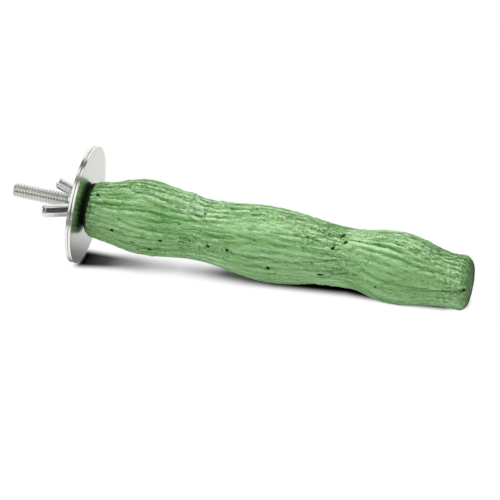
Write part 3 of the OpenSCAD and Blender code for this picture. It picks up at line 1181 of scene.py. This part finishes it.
def build_camera():
    """The photograph's camera, in front of the perch and above it."""
    up, level = floor_frame()
    turn, rise = math.radians(VIEW_TURN), math.radians(VIEW_RISE)
    sideways = level * math.sin(turn) * math.cos(rise)
    forwards = Vector((0, 1, 0)) * math.cos(turn) * math.cos(rise)
    back = sideways - forwards + up * math.sin(rise)
    right = up.cross(back).normalized()
    camera = show("camera", bpy.data.cameras.new("camera"))
    camera.data.lens = VIEW_LENS
    camera.data.clip_end = VIEW_END_M
    place = (Vector(VIEW_TARGET) + back * VIEW_DISTANCE) * MM
    turned = Matrix((right, back.cross(right), back)).transposed().to_4x4()
    camera.matrix_world = Matrix.Translation(place) @ turned
    bpy.context.scene.camera = camera


def direct_glossy(g, path, *others):
    """1 for rays from metal, or of a kind named, that no matt surface sent on."""
    seen = path["Is Glossy Ray"]
    for other in others:
        seen = g.math("MAXIMUM", seen, path[other])
    return g.times(seen, g.math("LESS_THAN", path["Diffuse Depth"], 0.5))


def inside_edge(distance, soft):
    """From 0 outside a soft edge to 1 inside it."""
    return smooth_step(distance / soft + 0.5)


def floor_shade(x, y):
    """The painted shadow: how white the paper is, from 0 to 1, along and across the perch."""
    tables = (SHADE_DARK, SHADE_FRONT, SHADE_BACK, SHADE_SOFT)
    dark, front, back, soft = (np.interp(x, SHADE_X, table) for table in tables)
    start, end = SHADE_ENDS
    inside = inside_edge(y - front, soft) * inside_edge(back - y, soft)
    ends = inside_edge(x - start, ENDS_SOFT) * inside_edge(end - x, ENDS_SOFT)
    return 1 - dark * inside * ends


def floor_mirrored(x, y):
    """Painted shade that only metal sees: how white it shows the paper, from 0 to 1."""
    near = 1 - (1 - np.interp(y, MIRROR_Y, MIRROR_SHADE)) * ease(x, *MIRROR_START)
    left = np.interp(x, MIRROR_DARK_X, (MIRROR_DARK, 1))
    left = np.maximum(left, np.interp(y, MIRROR_DARK_STRIP_Y, (1, 0, 0, 1)))
    return near * np.interp(y, MIRROR_DARK_Y, (MIRROR_DARK, 1)) * left


def floor_material():
    """White paper, clear from below, with the perch's shadow painted on it."""
    g = Graph("floor_paper")
    path = g.add("ShaderNodeLightPath").outputs
    # The camera sees the painted shadow, and metal a painted shade of its own
    white = g.spread(path["Is Glossy Ray"], 0, 1, g.value("shade"), g.value("mirrored"))
    seen = g.add("ShaderNodeEmission", {"Color": grey(1), "Strength": white})
    paper = g.add("ShaderNodeBsdfDiffuse", {"Color": grey(PAPER_TONE)})
    shown = g.mix_shader(direct_glossy(g, path, "Is Camera Ray", "Is Transmission Ray"), paper, seen)
    below = g.add("ShaderNodeNewGeometry").outputs["Backfacing"]
    return g.show(g.mix_shader(below, shown, g.add("ShaderNodeBsdfTransparent")))


def build_floor():
    """The paper: a fine grid under the perch, and wide margins."""
    up, level = (np.array(v) for v in floor_frame())
    lines = []
    for low, high, far in ((*PATCH_X, MIRROR_DARK_X), (*PATCH_Y, MIRROR_DARK_Y)):
        fine = np.linspace(low, high, round((high - low) / PATCH_GAP) + 1)
        lines.append(np.concatenate([[-FLOOR_R], far, fine, [FLOOR_R]]))
    x, y = np.meshgrid(*lines, indexing="ij")
    points = np.stack([x.ravel(), y.ravel()], axis=1) @ np.stack([level, (0, 1, 0)]) - FLOOR_DROP * up
    floor = new_object("floor", points, grid_faces(*x.shape, closed=False))
    if floor.data.polygons[0].normal.dot(Vector(up)) < 0:
        floor.data.flip_normals()
    set_values(floor, "shade", floor_shade(x, y))
    set_values(floor, "mirrored", floor_mirrored(x, y))
    dress(floor, floor_material())


def build_world():
    """Even light, a white background, and what metal mirrors."""
    world = bpy.data.worlds.new("studio")
    g = Graph("studio", world)
    toward = g.add("ShaderNodeTexCoord").outputs["Generated"]
    part = g.add("ShaderNodeSeparateXYZ", {0: toward}).outputs
    turn = g.math("ARCTAN2", part["Z"], g.times(part["Y"], -1.0))
    mirrored = g.ramp(g.math("FRACT", g.math("DIVIDE", turn, TURN)), STUDIO_STOPS)
    beside = g.spread(g.math("ABSOLUTE", part["X"]), *SIDE_CARDS)
    level = g.times(g.spread(part["Z"], *CARD_LOW), g.spread(part["Z"], *CARD_HIGH))
    mirrored = g.mix(g.times(beside, level), mirrored, grey(CARD_TONE))
    even = g.ramp(g.spread(part["X"], -1, 1), AMBIENT_STOPS)
    soft = g.add("ShaderNodeBackground", {"Color": even, "Strength": AMBIENT})
    lamps = g.add("ShaderNodeBackground", {"Color": mirrored})
    white = g.add("ShaderNodeBackground", {"Color": grey(1)})
    path = g.add("ShaderNodeLightPath").outputs
    plain = g.math("MAXIMUM", path["Is Camera Ray"], path["Is Transmission Ray"])
    g.show(g.mix_shader(plain, g.mix_shader(direct_glossy(g, path), soft, lamps), white))
    bpy.context.scene.world = world


def add_softbox(name, place, power):
    """A rectangular lamp, turned to what it lights."""
    data = bpy.data.lights.new(name, "AREA")
    data.shape = "RECTANGLE"
    data.size, data.size_y = (side * MM for side in LAMP_SIZE)
    data.energy = power
    lamp = show(name, data)
    lamp.visible_glossy = False
    lamp.location = Vector(place) * MM
    lamp.rotation_mode = "QUATERNION"
    lamp.rotation_quaternion = (Vector(LAMP_AIM) - Vector(place)).to_track_quat("-Z", "Y")


def build_stage():
    build_camera()
    build_floor()
    build_world()
    for lamp in LAMPS:
        add_softbox(*lamp)
    bpy.context.scene.view_settings.view_transform = "Standard"


# Assembly

materials = {name: metal_material(name, *look) for name, look in METALS.items()}
materials["mineral"] = mineral_material()


def place_piece(piece, body, node, slot):
    """Puts a piece on its body, in place of the model's own solid."""
    dress(piece, materials[slot])
    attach(piece, body)
    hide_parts(node)


place_piece(build_body(), "perch", "perch_body", "mineral")
place_piece(build_stud(), "perch", "hanger_bolt", "stud_zinc")
washer_front = build_washer("washer_front", (WASHER_GAP, WASHER_T), 1)
place_piece(washer_front, "front_washer", "front_washer", "washer_plate")
washer_back = build_washer("washer_back", (-WASHER_T, 0), -1)
place_piece(washer_back, "back_washer", "back_washer", "washer_plate")
place_piece(build_wing_nut(), "wing_nut", "wing_nut", "nut_zinc")
dress(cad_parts["core_dowel"], wood_material())
build_stage()
